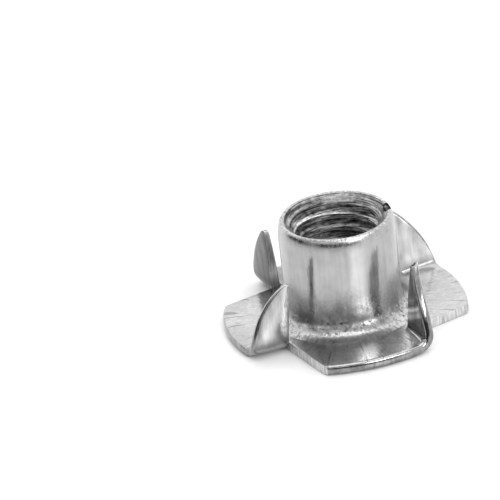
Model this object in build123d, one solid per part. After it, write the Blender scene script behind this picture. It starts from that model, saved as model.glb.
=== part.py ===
from build123d import *
import math
import os

# A four-prong tee nut, drawn and stamped from one sheet of steel.
# The axis is Z, the flange lies on Z = 0 and the barrel rises from it.

# Barrel and flange, in millimetres
sheet_thickness = 1.05
flange_diameter = 25.7
overall_height = 11.5
barrel_diameter = 12.0
bore_diameter = 8.5
root_radius = 1.8
shoulder_radius = 2.6
rim_inset = 0.35
rim_land = 0.4
corner_radius = 0.4

# Prongs, in millimetres: each is a flap that is cut free along one side and folded up.
# Offsets are measured from the axis, along the fold line or square to it.
prong_height = 8.0
prong_tip_width = 0.6
prong_tip_radius = 0.25
prong_cut_offset = 8.5
prong_tip_offset = 8.15
fold_offset = 3.15
fold_radius_inside = 0.2
fold_radius_outside = 1.0

# Turns in degrees: the lean is from upright, at the cut edge and at the outer edge of each prong
full_turn = 360.0
square_turn = 90.0
first_fold_angle = 28.4
leans_inside = [9.0, 2.0, 9.0, 9.0]
leans_outside = [-12.0, 4.0, -12.0, -5.0]

# Shares of other sizes: the fold of each prong lies further out by its share of the outer fold radius
fold_shift_shares = [0.0, 0.75, 0.0, 0.25]
fold_end_share = 0.978
flap_base_share = 1.5
prong_thinning_share = 0.55
overrun_share = 0.25

# Sizes that follow from the driving ones
flange_radius = flange_diameter / 2
barrel_radius = barrel_diameter / 2
bore_radius = bore_diameter / 2
ring_radius = barrel_radius + root_radius
mouth_radius = root_radius + sheet_thickness
drawn_radius = barrel_radius - sheet_thickness
rim_outer_radius = barrel_radius - rim_inset
rim_inner_radius = rim_outer_radius - rim_land
bore_bottom = mouth_radius + drawn_radius - bore_radius
bore_top = overall_height - rim_inner_radius + bore_radius
shoulder_bottom = overall_height - math.sqrt(rim_inset * (2 * shoulder_radius - rim_inset))
overrun = flange_diameter * overrun_share
flap_base = sheet_thickness * flap_base_share
prong_tip_end = prong_tip_offset + prong_tip_width
fold_end = flange_radius * fold_end_share
fold_inside = prong_tip_offset - sheet_thickness
fold_outside = fold_end + sheet_thickness
prong_count = len(leans_outside)
prong_angles = [first_fold_angle + full_turn / prong_count * k for k in range(prong_count)]
fold_lines = [fold_offset + fold_radius_outside * share for share in fold_shift_shares]


def bend_start(fold_line, inside_radius, lean):
    """Where the flat flange ends and the fold begins, measured across the fold line."""
    turn = math.radians(square_turn - lean)
    return fold_line - (inside_radius + sheet_thickness) * math.tan(turn / 2)


cut_corner = (prong_tip_offset, math.sqrt(flange_radius**2 - prong_tip_offset**2))
cut_way = ((prong_tip_offset - prong_cut_offset) / cut_corner[1], 1)


def turned(x, y, angle):
    """A point or a direction in the plan of one prong, turned with that prong."""
    return Vector(x, y).rotate(Axis.Z, angle)


def fold_edge(x, k):
    """Where the flat flange ends at fold k, on the line that leaves x in the way of the cut."""
    inside_start = bend_start(fold_lines[k], fold_radius_inside, leans_inside[k])
    outside_start = bend_start(fold_lines[k], fold_radius_outside, leans_outside[k])
    slope = (outside_start - inside_start) / (fold_outside - fold_inside)
    across = (inside_start + (x - fold_inside) * slope) / (1 - slope * cut_way[0])
    return turned(x + across * cut_way[0], across, prong_angles[k])


def fold_section(x, fold_line, inside_radius, lean):
    """The bent sheet as it is cut across the fold line, at x along the line: the leg thins upwards."""
    turn = math.radians(square_turn - lean)
    start = bend_start(fold_line, inside_radius, lean)
    outside_radius = inside_radius + sheet_thickness
    reach = prong_height + sheet_thickness
    centre = Vector(start, outside_radius)
    upward = Vector(math.cos(turn), math.sin(turn))

    def on_arc(radius, share):
        return centre + Vector(math.sin(turn * share), -math.cos(turn * share)) * radius

    def at_reach(point):
        return point + upward * ((reach - point.Y) / math.sin(turn))

    front = on_arc(outside_radius, 1)
    back = on_arc(inside_radius, 1)
    front_top = at_reach(front)
    back_top = front_top + (at_reach(back) - front_top) * prong_thinning_share
    outline = [
        ThreePointArc((start, 0), on_arc(outside_radius, 1 / 2), front),
        Line(front, front_top),
        Line(front_top, back_top),
        Line(back_top, back),
        ThreePointArc(back, on_arc(inside_radius, 1 / 2), (start, sheet_thickness)),
        Line((start, sheet_thickness), (start, 0)),
    ]
    return Plane((x, 0, 0), x_dir=(0, 1, 0), z_dir=(1, 0, 0)) * make_face(outline)


# The barrel: one half section with a flared mouth and a chamfered rim, turned about the axis
with BuildSketch(Plane.XZ) as barrel_section:
    with BuildLine():
        Line((ring_radius, sheet_thickness), (ring_radius, 0))
        RadiusArc((ring_radius, 0), (drawn_radius, mouth_radius), mouth_radius)
        Polyline(
            (drawn_radius, mouth_radius),
            (bore_radius, bore_bottom),
            (bore_radius, bore_top),
            (rim_inner_radius, overall_height),
            (rim_outer_radius, overall_height),
        )
        RadiusArc((rim_outer_radius, overall_height), (barrel_radius, shoulder_bottom), shoulder_radius)
        Line((barrel_radius, shoulder_bottom), (barrel_radius, mouth_radius))
        RadiusArc((barrel_radius, mouth_radius), (ring_radius, sheet_thickness), -root_radius)
    make_face()
barrel = revolve(barrel_section.sketch, Axis.Z)

# The flange: one lobe before each prong, with a round edge, a fold line and a cut edge
with BuildSketch() as flange_plan:
    with BuildLine():
        for k, angle in enumerate(prong_angles):
            lobe_start = turned(*cut_corner, prong_angles[k - 1])
            lobe_end = fold_edge(fold_end, k)
            fold_root = fold_edge(prong_cut_offset, k)
            TangentArc(lobe_end, lobe_start, tangent=-turned(*cut_way, angle))
            Line(lobe_end, fold_root)
            Line(fold_root, turned(*cut_corner, angle))
    make_face()
    fillet(flange_plan.vertices().sort_by_distance((0, 0))[-prong_count:], corner_radius)
    Circle(ring_radius, mode=Mode.SUBTRACT)
flange = extrude(flange_plan.sketch, sheet_thickness)

# The flap: the outline of a prong seen square to its fold, carried on both ways along the cut
with BuildSketch(Plane.XZ) as flap_outline:
    with BuildLine():
        Polyline(
            (fold_end, flap_base),
            (fold_end, -overrun),
            (prong_cut_offset, -overrun),
            (prong_cut_offset, flap_base),
            (prong_tip_offset, prong_height),
            (prong_tip_end, prong_height),
        )
        RadiusArc((prong_tip_end, prong_height), (fold_end, flap_base), flange_radius)
    make_face()
    fillet(flap_outline.vertices().group_by(Axis.Y)[-1], prong_tip_radius)
flap = extrude(flap_outline.sketch, overrun, dir=(*cut_way, 0), both=True)

# The prongs: sheet that is folded tighter at the cut than at its outer edge, trimmed to the flap
nut = barrel + flange
for angle, fold_line, lean_inside, lean_outside in zip(prong_angles, fold_lines, leans_inside, leans_outside):
    inside_section = fold_section(fold_inside, fold_line, fold_radius_inside, lean_inside)
    outside_section = fold_section(fold_outside, fold_line, fold_radius_outside, lean_outside)
    prong = loft([inside_section, outside_section], ruled=True) & flap
    nut += prong.rotate(Axis.Z, angle)

os.makedirs("parts", exist_ok=True)
export_step(nut, "parts/tee_nut.step")
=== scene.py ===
import math

import bmesh
import bpy
from mathutils import Matrix, Vector
from mathutils.kdtree import KDTree


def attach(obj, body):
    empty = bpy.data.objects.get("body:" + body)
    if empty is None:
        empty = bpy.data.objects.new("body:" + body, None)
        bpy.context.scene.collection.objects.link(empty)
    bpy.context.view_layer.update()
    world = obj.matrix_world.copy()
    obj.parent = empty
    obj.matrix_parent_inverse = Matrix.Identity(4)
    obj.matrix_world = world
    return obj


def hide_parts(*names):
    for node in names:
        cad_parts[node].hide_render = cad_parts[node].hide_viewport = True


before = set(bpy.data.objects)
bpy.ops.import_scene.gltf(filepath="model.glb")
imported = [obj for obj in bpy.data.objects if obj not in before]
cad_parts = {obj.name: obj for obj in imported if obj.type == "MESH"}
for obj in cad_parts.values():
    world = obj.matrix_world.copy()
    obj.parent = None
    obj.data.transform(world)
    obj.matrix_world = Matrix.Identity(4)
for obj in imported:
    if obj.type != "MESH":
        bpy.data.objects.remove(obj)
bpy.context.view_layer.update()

# The nut is modelled in millimetres in the frame of the CAD part and brought to metres at the end.
MM = 0.001

# Barrel and flange
SHEET = 1.05
FLANGE_R = 12.85
HEIGHT = 11.5
BARREL_R = 6.0
BORE_R = 4.25
ROOT_R = 1.8
SHOULDER_R = 2.6
RIM_INSET = 0.35
RIM_LAND = 0.28
CORNER_R = 0.4
RING_R = BARREL_R + ROOT_R
MOUTH_R = ROOT_R + SHEET
DRAWN_R = BARREL_R - SHEET

# Prongs, in a frame whose first axis runs outwards along the fold. The sheet keeps a share of its
# thickness at the tip, and each prong's face bulges by its crown.
PRONG_TOP = 8.0
TIP_WIDTH = 0.6
TIP_R = 0.25
TIP_THICKNESS = 0.6
CROWNS = [0.05, 0.1, 0.22, 0.1]
CUT_X = 8.5
TIP_X = 8.15
FOLD_YS = [3.15, 3.9, 3.15, 3.4]
FOLD_R_INSIDE = 0.2
FOLD_R_OUTSIDE = 1.0
FOLD_END_X = 0.978 * FLANGE_R
FLAP_BASE = 1.5 * SHEET
FIRST_FOLD = 28.4
LEANS_INSIDE = [9.0, 2.0, 9.0, 9.0]
LEANS_OUTSIDE = [-12.0, 4.0, -12.0, -5.0]

# Counts of edges in the cage: a quarter of the ring is shared out along one lobe's outline
CUT_STEPS = 5
CORNER_STEPS = 2
ARC_STEPS = 5
FOLD_STEPS = 4
QUARTER = CUT_STEPS + CORNER_STEPS + ARC_STEPS + FOLD_STEPS
RING_STEPS = 4 * QUARTER

# How far from an edge the next row of the cage lies, and how sharp or round the edges of the sheet are
SUPPORT = 0.5
ROUND_SUPPORT = 0.8
CUT_CREASE = 0.55
EDGE_FALL = 0.16

# Points this close are the same
TOUCH = 0.01

# Thread: a tap a little thinner than the bore at its core, which starts below the flange
PITCH = 1.5
THREAD_R = 5.05
THREAD_ANGLE = 60
TAP_CORE_R = 3.95
TAP_TURNS = 10
TAP_STEPS = 96
TAP_START = -1.49
NICK_PLACE = (5.28, 0.75, 11.45)
NICK_SIZE = (0.42, 0.85, 0.6)

# The order of the finishes on the nut
ZINC, SHEARED, TAPPED, ROLLED = range(4)
SMOOTH_ANGLE = 32

# The floor lies a hair below the nut
FLOOR_SIZE = 4
FLOOR_GAP = 0.02
FLOOR_WHITE = 0.71


def activate(obj):
    """Leave only this object selected, and active."""
    bpy.ops.object.select_all(action="DESELECT")
    obj.select_set(True)
    bpy.context.view_layer.objects.active = obj


def apply_modifiers(obj):
    activate(obj)
    for modifier in list(obj.modifiers):
        bpy.ops.object.modifier_apply(modifier=modifier.name)


def polar(radius, angle, z=0.0):
    return Vector((radius * math.cos(angle), radius * math.sin(angle), z))


def lerp(a, b, share):
    return a + (b - a) * share


# The outline of the flange and the rows of each prong

cut_corner = Vector((TIP_X, math.sqrt(FLANGE_R**2 - TIP_X**2), 0))
cut_slope = (TIP_X - CUT_X) / cut_corner.y
fold_inside_x = TIP_X - SHEET
fold_outside_x = FOLD_END_X + SHEET


def bend_start(fold_y, inside_radius, lean):
    turn = math.radians(90 - lean)
    return fold_y - (inside_radius + SHEET) * math.tan(turn / 2)


def bent_point(fold_y, inside_radius, lean, share):
    """A point on the outer face of the bent sheet: share 0 to 1 is the bend, and past 1 is the leg in millimetres."""
    turn = math.radians(90 - lean)
    radius = inside_radius + SHEET
    bend = min(share, 1) * turn
    y = bend_start(fold_y, inside_radius, lean) + radius * math.sin(bend)
    z = radius * (1 - math.cos(bend))
    leg = max(share - 1, 0)
    return Vector((0, y + leg * math.cos(turn), z + leg * math.sin(turn)))


def prong_point(share, along, k):
    """A point of the twisted prong: along runs from the section inside the cut to the one outside the lobe."""
    inner = bent_point(FOLD_YS[k], FOLD_R_INSIDE, LEANS_INSIDE[k], share)
    outer = bent_point(FOLD_YS[k], FOLD_R_OUTSIDE, LEANS_OUTSIDE[k], share)
    point = lerp(inner, outer, along)
    point.x = lerp(fold_inside_x, fold_outside_x, along)
    return point


def tip_inset(z):
    over = min(max(z - (PRONG_TOP - TIP_R), 0), TIP_R)
    return TIP_R - math.sqrt(max(TIP_R**2 - over**2, 0))


def cut_side(z):
    """Where the cut edge of a prong lies along the fold, at height z."""
    rise = min(max((z - FLAP_BASE) / (PRONG_TOP - FLAP_BASE), 0), 1)
    return lerp(CUT_X, TIP_X, rise) + tip_inset(z)


tip_end = Vector((TIP_X + TIP_WIDTH, PRONG_TOP))
arc_end = Vector((FOLD_END_X, FLAP_BASE))
chord = arc_end - tip_end
arc_rise = math.sqrt(FLANGE_R**2 - (chord.length / 2) ** 2)
arc_centre = (tip_end + arc_end) / 2 - Vector((-chord.y, chord.x)).normalized() * arc_rise


def round_side(z):
    """Where the round edge of a prong lies along the fold, at height z."""
    z = min(z, PRONG_TOP)
    if z <= FLAP_BASE:
        return FOLD_END_X
    return arc_centre.x + math.sqrt(FLANGE_R**2 - (z - arc_centre.y) ** 2) - tip_inset(z)


def meet(share, k, side):
    """How far along a row of the prong its edge lies."""
    low, high = 0.0, 1.0
    for _ in range(40):
        middle = (low + high) / 2
        point = prong_point(share, middle, k)
        if point.x - point.y * cut_slope < side(point.z):
            low = middle
        else:
            high = middle
    return low


def prong_row(share, k):
    """One row of cage points from the round edge to the cut edge, with a support close to each edge."""
    start = meet(share, k, round_side)
    end = meet(share, k, cut_side)
    width = (start - end) * (fold_outside_x - fold_inside_x)
    round_share, cut_share = [min(support / width, 0.28) for support in (ROUND_SUPPORT, SUPPORT)]
    shares = [0, round_share, 0.5, 1 - cut_share, 1]
    row = [prong_point(share, lerp(start, end, s), k) for s in shares]
    for point, s in zip(row, shares):
        point.y += CROWNS[k] * (4 * s * (1 - s) - 0.5) * min(share, 1)
    return row


def row_shares(k):
    """The rows of a prong from the flat sheet to its tip: over the bend, then up the leg."""
    top = 1.0
    for _ in range(60):
        along = (meet(top, k, round_side) + meet(top, k, cut_side)) / 2
        gap = PRONG_TOP - prong_point(top, along, k).z
        top += gap
    leg = top - 1
    bend = [0.25, 0.5, 0.75, 1.0]
    return bend + [1 + leg * s for s in (0.2, 0.42, 0.64, 0.82, 0.93, 0.975)] + [top]


def turned(point, k):
    return Matrix.Rotation(math.radians(FIRST_FOLD + 90 * k), 3, "Z") @ point


def lobe_outline(k):
    """The outline of the lobe before prong k: its cut edge, its corner, its round edge and its fold."""
    before = k - 1
    root = turned(prong_row(0, before)[-1], before)
    corner = turned(cut_corner, before)
    fold = [turned(p, k) for p in prong_row(0, k)]
    end = fold[0]
    # The round edge leaves the fold along the cut and reaches the corner on one arc
    tangent = turned(Vector((cut_slope, 1, 0)), k).normalized()
    normal = Vector((-tangent.y, tangent.x, 0))
    reach = corner - end
    radius = reach.length_squared / (2 * reach.dot(normal))
    centre = end + normal * radius
    first = math.atan2(end.y - centre.y, end.x - centre.x)
    last = math.atan2(corner.y - centre.y, corner.x - centre.x)
    sweep = (first - last + math.pi) % math.tau - math.pi
    along_cut = (corner - root).normalized()
    on_cut = corner - along_cut * CORNER_R
    on_arc = centre + polar(abs(radius), last + CORNER_R / abs(radius))
    outline = [lerp(root, on_cut, s / CUT_STEPS) for s in range(CUT_STEPS)]
    outline[1] = root + along_cut * SUPPORT * 1.6
    outline.append(on_cut)
    outline.append(lerp(lerp(on_cut, on_arc, 0.5), corner, 0.5))
    first_arc = last + CORNER_R / abs(radius)
    last_arc = last + sweep
    outline += [centre + polar(abs(radius), lerp(first_arc, last_arc, s / ARC_STEPS)) for s in range(ARC_STEPS)]
    return outline + fold[:-1]


def finder(verts):
    """A search for the vertex that lies nearest to a place."""
    verts = list(verts)
    tree = KDTree(len(verts))
    for i, v in enumerate(verts):
        tree.insert(v.co, i)
    tree.balance()
    return lambda place: verts[tree.find(place)[1]]


def pull(rows, closed=False):
    """Extrude a chain of edges that lies on the first row through all the rows after it."""
    mesh = bpy.context.edit_object.data
    for row, places in zip(rows, rows[1:]):
        bpy.ops.mesh.select_all(action="DESELECT")
        bm = bmesh.from_edit_mesh(mesh)
        find = finder(bm.verts)
        chain = [find(p) for p in row]
        pairs = list(zip(chain, chain[1:]))
        if closed:
            pairs.append((chain[-1], chain[0]))
        for a, b in pairs:
            bm.edges.get((a, b)).select_set(True)
        bmesh.update_edit_mesh(mesh)
        bpy.ops.mesh.extrude_edges_move()
        bm = bmesh.from_edit_mesh(mesh)
        find = finder(v for v in bm.verts if v.select)
        for v, place in [(find(p), q) for p, q in zip(row, places)]:
            v.co = place
        bmesh.update_edit_mesh(mesh)


def select_edges(test):
    """Select the edges whose two ends both pass the test."""
    bpy.ops.mesh.select_all(action="DESELECT")
    mesh = bpy.context.edit_object.data
    bm = bmesh.from_edit_mesh(mesh)
    for edge in bm.edges:
        if all(test(v.co) for v in edge.verts):
            edge.select_set(True)
    bmesh.update_edit_mesh(mesh)


def near(radius, z):
    """A test for points on one circle round the barrel's axis."""
    return lambda co: max(abs(math.hypot(co.x, co.y) - radius), abs(co.z - z)) < 2 * TOUCH


def model_sheet(materials):
    """The flange and its folded prongs: a sheet pulled outwards from the ring round the barrel."""
    outline = [p for k in range(4) for p in lobe_outline(k)]
    first = math.atan2(outline[0].y, outline[0].x)
    ring = [polar(RING_R, first + math.tau * i / RING_STEPS) for i in range(RING_STEPS)]
    bpy.ops.object.select_all(action="DESELECT")
    bpy.ops.mesh.primitive_circle_add(vertices=RING_STEPS, radius=RING_R, fill_type="NOTHING", rotation=(0, 0, first))
    nut = bpy.context.object
    nut.name = "zinc_tee_nut"
    bpy.ops.object.transform_apply(location=True, rotation=True, scale=True)
    for material in materials:
        nut.data.materials.append(material)
    bpy.ops.object.mode_set(mode="EDIT")
    bpy.ops.mesh.select_mode(type="EDGE")
    inner = []
    for a, b in zip(ring, outline):
        gap = (b - a).length
        inner.append(lerp(a, b, 1 - min(SUPPORT / gap, 0.45)))
    middle = [lerp(a, b, 0.5) for a, b in zip(ring, inner)]
    pull([ring, middle, inner, outline], closed=True)
    cut_points = []
    for k in range(4):
        rows = [prong_row(0, k)] + [prong_row(share, k) for share in row_shares(k)]
        rows = [[turned(p, k) for p in row] for row in rows]
        pull(rows)
        # The cut edge of the lobe goes on to the middle of its corner
        cut_points += lobe_outline(k)[:CUT_STEPS + 2] + [row[-1] for row in rows]
    bpy.ops.mesh.select_all(action="SELECT")
    bpy.ops.mesh.normals_make_consistent(inside=False)
    bm = bmesh.from_edit_mesh(nut.data)
    bm.faces.ensure_lookup_table()
    flat = max(bm.faces, key=lambda f: abs(f.normal.z) * f.calc_area())
    if flat.normal.z > 0:
        bpy.ops.mesh.flip_normals()
    bpy.ops.object.mode_set(mode="OBJECT")
    thicken(nut, cut_points)
    finish_edges(nut)
    return nut, ring


def thicken(nut, cut_points):
    """Give the sheet its thickness, less towards the tips of the prongs, and note which edges the punch cut."""
    wall = nut.modifiers.new("sheet", "SOLIDIFY")
    wall.thickness = SHEET
    wall.offset = -1
    wall.use_even_offset = True
    wall.use_quality_normals = True
    wall.material_offset_rim = SHEARED
    cut = nut.vertex_groups.new(name="cut")
    for v in nut.data.vertices:
        if any((v.co - p).length < TOUCH for p in cut_points):
            cut.add([v.index], 1, "REPLACE")
    thin = nut.vertex_groups.new(name="thickness")
    for v in nut.data.vertices:
        thin.add([v.index], lerp(1, TIP_THICKNESS, max(v.co.z - MOUTH_R, 0) / (PRONG_TOP - MOUTH_R)), "REPLACE")
    wall.vertex_group = thin.name
    apply_modifiers(nut)


def finish_edges(nut):
    """Keep the cut edges sharp, with the sheared finish, and round the others."""
    bpy.ops.object.mode_set(mode="EDIT")
    bpy.ops.mesh.select_mode(type="EDGE")
    bpy.ops.mesh.select_all(action="DESELECT")
    bm = bmesh.from_edit_mesh(nut.data)
    weights = bm.verts.layers.deform.verify()
    cut_group = nut.vertex_groups["cut"].index
    for face in bm.faces:
        if face.material_index == SHEARED and not all(cut_group in v[weights] for v in face.verts):
            face.material_index = ROLLED
    for edge in bm.edges:
        sides = {face.material_index for face in edge.link_faces}
        if sides == {ZINC, SHEARED} and all(cut_group in v[weights] for v in edge.verts):
            edge.select_set(True)
    bmesh.update_edit_mesh(nut.data)
    bpy.ops.transform.edge_crease(value=CUT_CREASE)
    round_off_edges(nut)
    bpy.ops.object.mode_set(mode="OBJECT")


def round_off_edges(nut):
    """Halve the rim of the sheet and draw both faces back along its round edges."""
    bm = bmesh.from_edit_mesh(nut.data)

    def on_rim(edge):
        return [face.material_index in (SHEARED, ROLLED) for face in edge.link_faces]

    moves = {}
    for face in bm.faces:
        if face.material_index != ROLLED:
            continue
        for v in face.verts:
            inward = [e for e in v.link_edges if len(e.link_faces) == 2 and not any(on_rim(e))]
            if inward:
                moves[v] = (inward[0].other_vert(v).co - v.co).normalized() * EDGE_FALL
    bpy.ops.mesh.select_all(action="DESELECT")
    for edge in bm.edges:
        if len(edge.link_faces) == 2 and all(on_rim(edge)):
            edge.select_set(True)
    for v, move in moves.items():
        v.co += move
    middles = [(e, (e.verts[0].co + e.verts[1].co) / 2) for e in bm.edges if e.select]
    outs = []
    for edge, middle in middles:
        shift = sum((moves[v] for v in edge.verts if v in moves), Vector()) / 2
        outs.append((middle, middle - shift))
    bmesh.update_edit_mesh(nut.data)
    bpy.ops.mesh.subdivide(number_cuts=1)
    bm = bmesh.from_edit_mesh(nut.data)
    find = finder(bm.verts)
    for v, place in [(find(middle), place) for middle, place in outs]:
        v.co = place
    bmesh.update_edit_mesh(nut.data)


def arc_rows(centre_r, centre_z, radius, start, end, steps):
    """Radius and height of points along an arc of the barrel's section, angles in degrees."""
    angles = [math.radians(lerp(start, end, s / steps)) for s in range(steps + 1)]
    return [(centre_r + radius * math.cos(a), centre_z + radius * math.sin(a)) for a in angles]


def model_barrel(nut, ring):
    """The barrel: the ring's upper edge pulled up the wall, over the rim and down the bore to the lower edge."""
    activate(nut)
    bpy.ops.object.mode_set(mode="EDIT")
    bpy.ops.mesh.select_mode(type="FACE")
    bpy.ops.mesh.select_all(action="DESELECT")
    bm = bmesh.from_edit_mesh(nut.data)
    for face in bm.faces:
        if all(abs(math.hypot(v.co.x, v.co.y) - RING_R) < TOUCH for v in face.verts):
            face.select_set(True)
    bmesh.update_edit_mesh(nut.data)
    bpy.ops.mesh.delete(type="ONLY_FACE")
    bpy.ops.mesh.select_mode(type="EDGE")
    for z in (0, SHEET):
        select_edges(near(RING_R, z))
        bpy.ops.transform.edge_crease(value=-1)
    rim_outer = BARREL_R - RIM_INSET
    rim_inner = rim_outer - RIM_LAND
    shoulder_turn = math.degrees(math.acos(1 - RIM_INSET / SHOULDER_R))
    shoulder_z = HEIGHT - SHOULDER_R * math.sin(math.radians(shoulder_turn))
    bore_top = HEIGHT - rim_inner + BORE_R
    bore_bottom = MOUTH_R + DRAWN_R - BORE_R
    section = arc_rows(RING_R, MOUTH_R, ROOT_R, 270, 180, 4)
    section += [(BARREL_R, lerp(MOUTH_R, shoulder_z, s)) for s in (0.3, 0.65, 0.93)]
    section += arc_rows(BARREL_R - SHOULDER_R, shoulder_z, SHOULDER_R, 0, shoulder_turn, 3)[:-1]
    section += [(rim_outer + 0.02, HEIGHT - 0.07), (rim_outer - 0.05, HEIGHT), (rim_inner, HEIGHT)]
    section += [(BORE_R, bore_top)]
    section += [(BORE_R, lerp(bore_top, bore_bottom, s)) for s in (0.1, 0.5, 0.9)]
    section += [(BORE_R, bore_bottom)]
    section += arc_rows(RING_R, MOUTH_R, MOUTH_R, 180, 270, 5)
    turns = [math.atan2(p.y, p.x) for p in ring]
    rows = [[polar(r, a, z) for a in turns] for r, z in section]
    pull(rows, closed=True)
    bpy.ops.mesh.select_all(action="SELECT")
    bpy.ops.mesh.remove_doubles(threshold=0.005)
    bpy.ops.mesh.normals_make_consistent(inside=False)
    bm = bmesh.from_edit_mesh(nut.data)
    for face in bm.faces:
        if all(math.hypot(v.co.x, v.co.y) < rim_inner + TOUCH and v.co.z > bore_bottom - TOUCH for v in face.verts):
            face.material_index = TAPPED
    bmesh.update_edit_mesh(nut.data)
    for r, z, crease in (
        (rim_inner, HEIGHT, 0.4),
        (BORE_R, bore_top, 1),
        (BORE_R, bore_bottom, 1),
        (DRAWN_R, MOUTH_R, 0.4),
    ):
        select_edges(near(r, z))
        bpy.ops.transform.edge_crease(value=crease)
    bpy.ops.object.mode_set(mode="OBJECT")
    smooth = nut.modifiers.new("smooth", "SUBSURF")
    smooth.levels = smooth.render_levels = 2
    apply_modifiers(nut)


def model_tap(materials):
    """A screw the shape of the thread's grooves, to be cut from the bore."""
    bpy.ops.object.select_all(action="DESELECT")
    bpy.ops.mesh.primitive_circle_add(vertices=3, radius=1, fill_type="NOTHING")
    tap = bpy.context.object
    tap.name = "thread_tap"
    for material in materials:
        tap.data.materials.append(material)
    bpy.ops.object.mode_set(mode="EDIT")
    bpy.ops.mesh.select_all(action="SELECT")
    bpy.ops.mesh.merge(type="CENTER")
    flank = (THREAD_R - TAP_CORE_R) * math.tan(math.radians(THREAD_ANGLE / 2))
    crest = PITCH / 6
    land = (PITCH - crest - 2 * flank) / 2
    heights = [0, land, land + flank, land + flank + crest, PITCH - land, PITCH]
    radii = [TAP_CORE_R, TAP_CORE_R, THREAD_R, THREAD_R, TAP_CORE_R, TAP_CORE_R]
    bm = bmesh.from_edit_mesh(tap.data)
    bm.verts.ensure_lookup_table()
    bm.verts[0].co = Vector((radii[0], 0, heights[0]))
    bm.verts[0].select_set(True)
    bmesh.update_edit_mesh(tap.data)
    for r0, r1, z0, z1 in zip(radii, radii[1:], heights, heights[1:]):
        bpy.ops.mesh.extrude_vertices_move(TRANSFORM_OT_translate={"value": (r1 - r0, 0, z1 - z0)})
    bpy.ops.object.mode_set(mode="OBJECT")
    screw = tap.modifiers.new("helix", "SCREW")
    screw.axis = "Z"
    screw.angle = math.tau
    screw.screw_offset = PITCH
    screw.iterations = TAP_TURNS
    screw.steps = screw.render_steps = TAP_STEPS
    screw.use_merge_vertices = True
    screw.merge_threshold = 0.001
    apply_modifiers(tap)
    bpy.ops.object.mode_set(mode="EDIT")
    bpy.ops.mesh.select_mode(type="EDGE")
    bpy.ops.mesh.select_all(action="SELECT")
    bpy.ops.mesh.remove_doubles(threshold=0.001)
    for low in (True, False):
        bpy.ops.mesh.select_all(action="DESELECT")
        bpy.ops.mesh.select_non_manifold(extend=False, use_wire=False, use_boundary=True, use_multi_face=False,
                                         use_non_contiguous=False, use_verts=False)
        bm = bmesh.from_edit_mesh(tap.data)
        for edge in bm.edges:
            middle = (edge.verts[0].co.z + edge.verts[1].co.z) / 2
            if (middle < TAP_TURNS / 2 * PITCH) != low:
                edge.select_set(False)
        bmesh.update_edit_mesh(tap.data)
        bpy.ops.mesh.extrude_edges_move()
        bpy.ops.mesh.merge(type="CENTER")
    bpy.ops.mesh.select_all(action="SELECT")
    bpy.ops.mesh.normals_make_consistent(inside=False)
    bpy.ops.object.mode_set(mode="OBJECT")
    for face in tap.data.polygons:
        face.material_index = TAPPED
    activate(tap)
    bpy.ops.transform.translate(value=(0, 0, TAP_START))
    bpy.ops.object.transform_apply(location=True, rotation=True, scale=True)
    return tap


def model_nick(materials):
    """The dent that the start of the thread leaves in the rim."""
    bpy.ops.object.select_all(action="DESELECT")
    bpy.ops.mesh.primitive_uv_sphere_add(segments=24, ring_count=12, radius=1, location=NICK_PLACE,
                                         rotation=(0, 0, math.atan2(NICK_PLACE[1], NICK_PLACE[0])))
    nick = bpy.context.object
    nick.name = "thread_nick"
    nick.scale = NICK_SIZE
    bpy.ops.object.transform_apply(location=True, rotation=True, scale=True)
    for material in materials:
        nick.data.materials.append(material)
    for face in nick.data.polygons:
        face.material_index = TAPPED
    return nick


def cut_away(nut, tool):
    cut = nut.modifiers.new(tool.name, "BOOLEAN")
    cut.operation = "DIFFERENCE"
    cut.solver = "EXACT"
    cut.object = tool
    apply_modifiers(nut)
    bpy.data.objects.remove(tool, do_unlink=True)


# Materials

# Centres of the painted shade on one prong and of the painted highlight on the next
PAINTED_SHADE_PRONG = (-8.6, 7.6, 4.4)
PAINTED_HIGHLIGHT_PRONG = (7.6, 7.8, 4.6)


class Wiring:
    """The nodes of one finish or of the light, and the ways to join them."""

    def __init__(self, tree):
        self.nodes, self.links = tree.nodes, tree.links

    def axes(self, vector):
        """The three numbers of a vector, by the name of their axis."""
        split = self.nodes.new("ShaderNodeSeparateXYZ")
        self.links.new(vector, split.inputs["Vector"])
        return split.outputs

    def ramp(self, value, start, end, first, last, smooth=False):
        """A value that goes from first to last as the input goes from start to end."""
        node = self.nodes.new("ShaderNodeMapRange")
        if smooth:
            node.interpolation_type = "SMOOTHSTEP"
        numbers = {"From Min": start, "From Max": end, "To Min": first, "To Max": last}
        for socket, number in numbers.items():
            node.inputs[socket].default_value = number
        self.links.new(value, node.inputs["Value"])
        return node.outputs["Result"]

    def combine(self, operation, value, *others):
        """The values put together, one after the other."""
        for other in others:
            node = self.nodes.new("ShaderNodeMath")
            node.operation = operation
            self.links.new(value, node.inputs[0])
            self.links.new(other, node.inputs[1])
            value = node.outputs["Value"]
        return value


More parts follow.
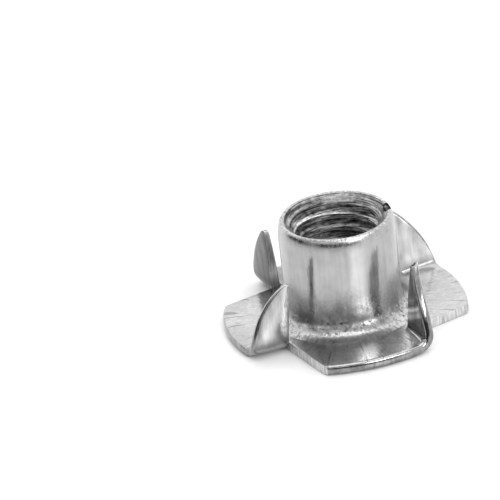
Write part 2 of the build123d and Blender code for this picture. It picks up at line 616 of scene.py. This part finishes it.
class Finish(Wiring):
    """A material that lies on the object's own coordinates. Lengths are in millimetres."""

    def __init__(self, name, metallic=1.0):
        self.material = bpy.data.materials.new(name)
        self.material.use_nodes = True
        super().__init__(self.material.node_tree)
        self.shader = self.nodes["Principled BSDF"]
        self.shader.inputs["Metallic"].default_value = metallic
        self.place = self.nodes.new("ShaderNodeTexCoord").outputs["Object"]

    def noise(self, vector, detail, roughness=0.5):
        noise = self.nodes.new("ShaderNodeTexNoise")
        noise.inputs["Scale"].default_value = 1.0
        noise.inputs["Detail"].default_value = detail
        noise.inputs["Roughness"].default_value = roughness
        self.links.new(vector, noise.inputs["Vector"])
        return noise.outputs["Fac"]

    def grain(self, scale, detail=3.0, roughness=0.5):
        """Noise with about so many marks to a millimetre along each axis."""
        mapping = self.nodes.new("ShaderNodeMapping")
        mapping.vector_type = "TEXTURE"
        mapping.inputs["Scale"].default_value = [MM / x for x in scale]
        self.links.new(self.place, mapping.inputs["Vector"])
        return self.noise(mapping.outputs["Vector"], detail, roughness)

    def axis_distance(self):
        """How far a point lies from the barrel's axis."""
        flat = self.nodes.new("ShaderNodeVectorMath")
        flat.operation = "MULTIPLY"
        flat.inputs[1].default_value = (1, 1, 0)
        self.links.new(self.place, flat.inputs[0])
        length = self.nodes.new("ShaderNodeVectorMath")
        length.operation = "LENGTH"
        self.links.new(flat.outputs["Vector"], length.inputs[0])
        return length.outputs["Value"]

    def distance_to(self, spot):
        gap = self.nodes.new("ShaderNodeVectorMath")
        gap.operation = "DISTANCE"
        gap.inputs[1].default_value = [x * MM for x in spot]
        self.links.new(self.place, gap.inputs[0])
        return gap.outputs["Value"]

    def between(self, length, start, end, first, last):
        """A ramp over a length."""
        return self.ramp(length, start * MM, end * MM, first, last)

    def grey(self, value):
        """One value as the metal's colour."""
        tint = self.nodes.new("ShaderNodeCombineColor")
        for socket in ("Red", "Green", "Blue"):
            self.links.new(value, tint.inputs[socket])
        self.links.new(tint.outputs["Color"], self.shader.inputs["Base Color"])

    def rough(self, value):
        self.links.new(value, self.shader.inputs["Roughness"])

    def emboss(self, height, depth):
        """Small relief on the surface."""
        bump = self.nodes.new("ShaderNodeBump")
        bump.inputs["Strength"].default_value = 1.0
        bump.inputs["Distance"].default_value = depth * MM
        self.links.new(height, bump.inputs["Height"])
        self.links.new(bump.outputs["Normal"], self.shader.inputs["Normal"])


def bright_zinc():
    """Bright plating on drawn sheet: cloudy, streaked along the draw, scratched, darker at the barrel's foot where it
    is stained and given painted shade, with painted reflections up the prongs, painted shade in the folds and on one
    prong, and a painted highlight on another.
    """
    zinc = Finish("bright_zinc")
    clouds = zinc.grain((0.25, 0.25, 0.25), detail=2)
    mottle = zinc.grain((1.3, 1.3, 0.9), detail=5, roughness=0.6)
    draw = zinc.grain((2.6, 2.6, 0.12), detail=2)
    specks = zinc.grain((3.4, 3.4, 2.6), detail=6, roughness=0.75)
    blotches = zinc.grain((0.5, 0.5, 0.5))
    painted_band_noise = zinc.grain((1.0, 1.0, 0.1))
    axes = zinc.axes(zinc.place)
    height = axes["Z"]
    reach = zinc.axis_distance()
    bearing = zinc.combine("ARCTAN2", axes["X"], zinc.ramp(axes["Y"], -1, 1, 1, -1))

    def radial(count, length, detail):
        """Noise drawn out along the radius: so many marks to a turn, each about so long."""
        spread = zinc.nodes.new("ShaderNodeCombineXYZ")
        zinc.links.new(zinc.ramp(bearing, -math.pi, math.pi, 0, count), spread.inputs["X"])
        zinc.links.new(zinc.between(reach, 0, 20, 0, 20 / length), spread.inputs["Y"])
        return zinc.noise(spread.outputs["Vector"], detail)

    # Scratches run outwards over the flange, and short tears round the foot, where the sheet was pulled in
    scratches = zinc.combine("MAXIMUM", zinc.ramp(radial(210, 5, 1), 0.62, 0.67, 0, 1),
                             zinc.ramp(radial(360, 2.5, 3), 0.45, 0.75, 0, 0.4))
    scratches = zinc.combine("MULTIPLY", scratches, zinc.between(reach, 8.0, 9.0, 0, 1))
    tears = zinc.combine("MULTIPLY", zinc.ramp(radial(130, 1.4, 2), 0.57, 0.66, 0, 0.8),
                         zinc.between(reach, 6.9, 7.4, 0, 1), zinc.between(reach, 7.9, 9.4, 1, 0))
    scratches = zinc.combine("MAXIMUM", scratches, tears)
    scratches = zinc.combine("MULTIPLY", scratches, zinc.between(height, 1.1, 1.6, 1, 0))
    # Darker blotches at the foot, where the sheet was stretched round the drawing tool: partly stained, partly painted
    # shade
    ragged = zinc.combine("ADD", height, zinc.ramp(specks, 0.3, 0.7, -0.9 * MM, 0.9 * MM))
    foot = zinc.combine("MULTIPLY", zinc.between(ragged, 1.1, 2.0, 0, 1), zinc.between(ragged, 2.6, 6.0, 1, 0),
                        zinc.between(reach, 7.4, 8.2, 1, 0))
    stain_and_painted_shade = zinc.combine("MULTIPLY", foot, zinc.ramp(blotches, 0.35, 0.6, 0.3, 1))
    pits = zinc.combine("MULTIPLY", foot, zinc.ramp(specks, 0.54, 0.64, 0, 1))
    # Burrs on the rim, and smears on the shoulder below it
    burrs = zinc.combine("MULTIPLY", zinc.between(height, 11.25, 11.45, 0, 1), zinc.ramp(specks, 0.35, 0.65, -0.5, 0.5))
    smears = zinc.combine("MULTIPLY", zinc.between(height, 10.0, 10.6, 0, 1), zinc.ramp(specks, 0.4, 0.62, 0, 0.13))
    # Painted shade darkens one prong, and a painted highlight lightens the next one, which is also matt
    prong_painted_shade = zinc.between(zinc.distance_to(PAINTED_SHADE_PRONG), 3.6, 5.4, 0.36, 1)
    near_highlight_prong = zinc.distance_to(PAINTED_HIGHLIGHT_PRONG)
    # Painted highlight: this prong's colour is lighter
    bright = zinc.between(near_highlight_prong, 3.6, 5.0, 1.3, 1)
    matt = zinc.between(near_highlight_prong, 3.6, 5.0, 0.25, 0)
    # Painted shade: the plating is darker in the crease where the sheet was folded
    fold = zinc.combine("MULTIPLY", zinc.between(height, 1.08, 1.25, 0, 1), zinc.between(height, 1.6, 2.4, 1, 0),
                        zinc.between(reach, 8.3, 8.9, 0, 1))
    # Painted reflections: light and dark bands run up the prongs
    on_prongs = zinc.combine("MULTIPLY", zinc.between(reach, 7.8, 8.4, 0, 1), zinc.between(height, 1.3, 2.6, 0, 1))
    painted_reflection_bands = zinc.combine("MULTIPLY", on_prongs, zinc.ramp(painted_band_noise, 0.36, 0.64, -0.3, 0.4))
    zinc.grey(zinc.combine(
        "MULTIPLY",
        zinc.ramp(clouds, 0.35, 0.65, 0.38, 0.46),
        zinc.ramp(painted_reflection_bands, -1, 1, 0, 2),
        zinc.ramp(burrs, -1, 1, 0, 2),
        zinc.ramp(mottle, 0.3, 0.7, 0.9, 1.08),
        zinc.ramp(draw, 0.35, 0.65, 0.92, 1.06),
        zinc.ramp(stain_and_painted_shade, 0, 1, 1, 0.33),
        zinc.ramp(pits, 0, 1, 1, 0.4),
        zinc.ramp(scratches, 0, 1, 1, 0.5),
        zinc.ramp(fold, 0, 1, 1, 0.6),
        # Painted shade on one prong and painted highlight on the next
        zinc.combine("MULTIPLY", prong_painted_shade, bright),
    ))
    zinc.rough(zinc.combine(
        "ADD",
        zinc.ramp(mottle, 0.3, 0.7, 0.12, 0.23),
        zinc.ramp(stain_and_painted_shade, 0, 1, 0, 0.2),
        matt,
        smears,
    ))
    zinc.emboss(zinc.combine(
        "ADD",
        mottle,
        zinc.ramp(draw, 0, 1, 0, 0.8),
        zinc.ramp(scratches, 0, 1, 0, -0.6),
        zinc.ramp(pits, 0, 1, 0, -1),
        zinc.ramp(burrs, -1, 1, -2.5, 2.5),
    ), 0.012)
    return zinc.material


def sheared_edge():
    """Edges cut by the punch, with fine marks across the sheet."""
    edge = Finish("sheared_edge", metallic=0.85)
    marks = edge.grain((5.5, 5.5, 0.5))
    mottle = edge.grain((1.5, 1.5, 1.5), detail=4, roughness=0.6)
    edge.grey(edge.combine("MULTIPLY", edge.ramp(marks, 0.36, 0.64, 0.4, 0.72), edge.ramp(mottle, 0.3, 0.7, 0.9, 1.08)))
    edge.rough(edge.ramp(mottle, 0.3, 0.7, 0.25, 0.42))
    edge.emboss(edge.combine("ADD", marks, edge.ramp(mottle, 0, 1, 0, 0.6)), 0.03)
    return edge.material


def rolled_edge():
    """The round edges that the blanking tool drew over, faintly marked, in a grey darker than the plating: painted
    shade.
    """
    edge = Finish("rolled_edge")
    marks = edge.grain((2.4, 2.4, 0.6))
    mottle = edge.grain((1.4, 1.4, 1.4), detail=4, roughness=0.6)
    edge.grey(edge.combine("MULTIPLY", edge.ramp(marks, 0.35, 0.65, 0.2, 0.36), edge.ramp(mottle, 0.3, 0.7, 0.88, 1.1)))
    edge.rough(edge.ramp(mottle, 0.3, 0.7, 0.08, 0.17))
    edge.emboss(edge.combine("ADD", marks, mottle), 0.01)
    return edge.material


def tapped_thread():
    """Torn, matt steel that the tap left: fine broken rings round the bore, with painted shade on the chamfer and a
    faint painted highlight on the crests.
    """
    steel = Finish("tapped_thread")
    rings = steel.grain((0.25, 0.25, 8.0), roughness=0.6)
    tears = steel.grain((1.8, 1.8, 3.5), detail=5, roughness=0.65)
    height = steel.axes(steel.place)["Z"]
    # Painted shade: the nick is painted dark
    nick_painted_shade = steel.between(steel.distance_to(NICK_PLACE), 0.5, 1.0, 0.12, 1)
    steel.grey(steel.combine(
        "MULTIPLY",
        steel.ramp(rings, 0.4, 0.6, 0.09, 0.95),
        # Painted highlight: the crests are a little lighter than the grooves
        steel.between(steel.axis_distance(), 4.26, 4.4, 0.95, 0.9),
        # Painted shade: the chamfer at the mouth is darker than the bore below
        steel.between(height, 9.8, 10.5, 1, 0.45),
        nick_painted_shade,
        steel.ramp(tears, 0.36, 0.64, 0.5, 1.4),
    ))
    steel.rough(steel.ramp(tears, 0.3, 0.7, 0.24, 0.5))
    steel.emboss(steel.combine("ADD", rings, steel.ramp(tears, 0, 1, 0, 0.6)), 0.045)
    return steel.material


finishes = [bright_zinc(), sheared_edge(), tapped_thread(), rolled_edge()]
nut, ring = model_sheet(finishes)
model_barrel(nut, ring)
cut_away(nut, model_tap(finishes))
cut_away(nut, model_nick(finishes))
activate(nut)
bpy.ops.transform.resize(value=(MM, MM, MM), center_override=(0, 0, 0))
bpy.ops.object.transform_apply(location=True, rotation=True, scale=True)
bpy.ops.object.shade_smooth_by_angle(angle=math.radians(SMOOTH_ANGLE))
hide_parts("tee_nut")
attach(nut, "root")


# Floor, light and camera


def lay_floor():
    bpy.ops.object.select_all(action="DESELECT")
    bpy.ops.mesh.primitive_plane_add(size=FLOOR_SIZE, location=(0, 0, -FLOOR_GAP * MM))
    floor = bpy.context.object
    floor.name = "floor"
    table = Finish("white_table", metallic=0.0)
    table.shader.inputs["Base Color"].default_value = (*[FLOOR_WHITE] * 3, 1)
    table.rough(table.ramp(table.grain((0.05, 0.05, 0.05)), 0.3, 0.7, 0.24, 0.32))
    floor.data.materials.append(table.material)


def light_tent():
    """A white cove behind the nut, a dark room in front at the height of the table, and a bright ceiling over it."""
    world = bpy.data.worlds.new("tent")
    bpy.context.scene.world = world
    world.use_nodes = True
    tent = Wiring(world.node_tree)
    background = tent.nodes["Background"]
    axes = tent.axes(tent.nodes.new("ShaderNodeTexCoord").outputs["Generated"])

    def fade(axis, start, end, first, last):
        """Brightness that goes smoothly from first to last as one axis of the direction goes from start to end."""
        return tent.ramp(axes[axis], start, end, first, last, smooth=True)

    sides = tent.combine("MAXIMUM", fade("X", 0.52, 0.72, 0.0, 1.2), fade("X", -0.7, -0.52, 0.4, 0.0))
    front = tent.combine("MAXIMUM", fade("Z", 0.25, 0.48, 0.03, 1.7), sides)
    # The ceiling is dimmer between the bright strip above the room and the light overhead
    front = tent.combine("MULTIPLY", front, fade("Z", 0.5, 0.65, 1.0, 0.6))
    front = tent.combine("ADD", front, fade("Z", 0.88, 0.97, 0.0, 1.4))
    in_front = tent.combine("MULTIPLY", front, fade("Y", 0.0, 0.3, 1.0, 0.0))
    behind = tent.combine("MULTIPLY", fade("Z", 0.85, 0.95, 1.6, 2.0), fade("Y", 0.0, 0.3, 0.0, 1.0))
    # A dark card stands low at the left
    card = tent.combine("MAXIMUM", fade("X", -0.96, -0.86, 0.06, 1.0), fade("Z", 0.25, 0.45, 0.06, 1.0))
    brightness = tent.combine("MULTIPLY", tent.combine("ADD", in_front, behind), card)
    tent.links.new(brightness, background.inputs["Strength"])
    background.inputs["Color"].default_value = (1, 1, 1, 1)


def hang_softbox(name, place, aim, size, power, mirrored=True):
    data = bpy.data.lights.new(name, "AREA")
    data.shape = "RECTANGLE"
    data.size, data.size_y = size
    data.energy = power
    lamp = bpy.data.objects.new(name, data)
    bpy.context.collection.objects.link(lamp)
    lamp.location = place
    lamp.rotation_euler = (Vector(aim) - Vector(place)).to_track_quat("-Z", "Y").to_euler()
    lamp.visible_glossy = mirrored


def set_camera():
    """The photograph's view: the nut lies right of and below the middle of a long lens."""
    elevation = math.radians(28.3)
    roll = math.radians(6.0)
    distance = 0.3
    pixels = 500
    focal = 2910
    nut_pixel = (345.6, 314.3)
    back = Vector((0, -math.cos(elevation), math.sin(elevation)))
    level = Vector((1, 0, 0))
    upright = Vector((0, math.sin(elevation), math.cos(elevation)))
    right = level * math.cos(roll) - upright * math.sin(roll)
    up = level * math.sin(roll) + upright * math.cos(roll)
    offset = (nut_pixel[0] - pixels / 2) / focal, (pixels / 2 - nut_pixel[1]) / focal
    look = (-back - right * offset[0] - up * offset[1]).normalized()
    right = (right - look * right.dot(look)).normalized()
    up = right.cross(look)
    data = bpy.data.cameras.new("camera")
    data.sensor_width = 36
    data.lens = focal / pixels * data.sensor_width
    data.clip_start = 0.01
    camera = bpy.data.objects.new("camera", data)
    bpy.context.collection.objects.link(camera)
    camera.matrix_world = Matrix.Translation(back * distance) @ Matrix((right, up, -look)).transposed().to_4x4()
    bpy.context.scene.camera = camera


lay_floor()
light_tent()
hang_softbox("table_light", (0, 0.05, 0.6), (0, 0, 0), (0.9, 0.9), 0.6, mirrored=False)
hang_softbox("front_box", (0.228, -0.325, 0.211), (0, 0, 0.003), (0.208, 0.105), 0.85)
set_camera()
scene = bpy.context.scene
scene.view_settings.view_transform = "Standard"
scene.view_settings.look = "None"
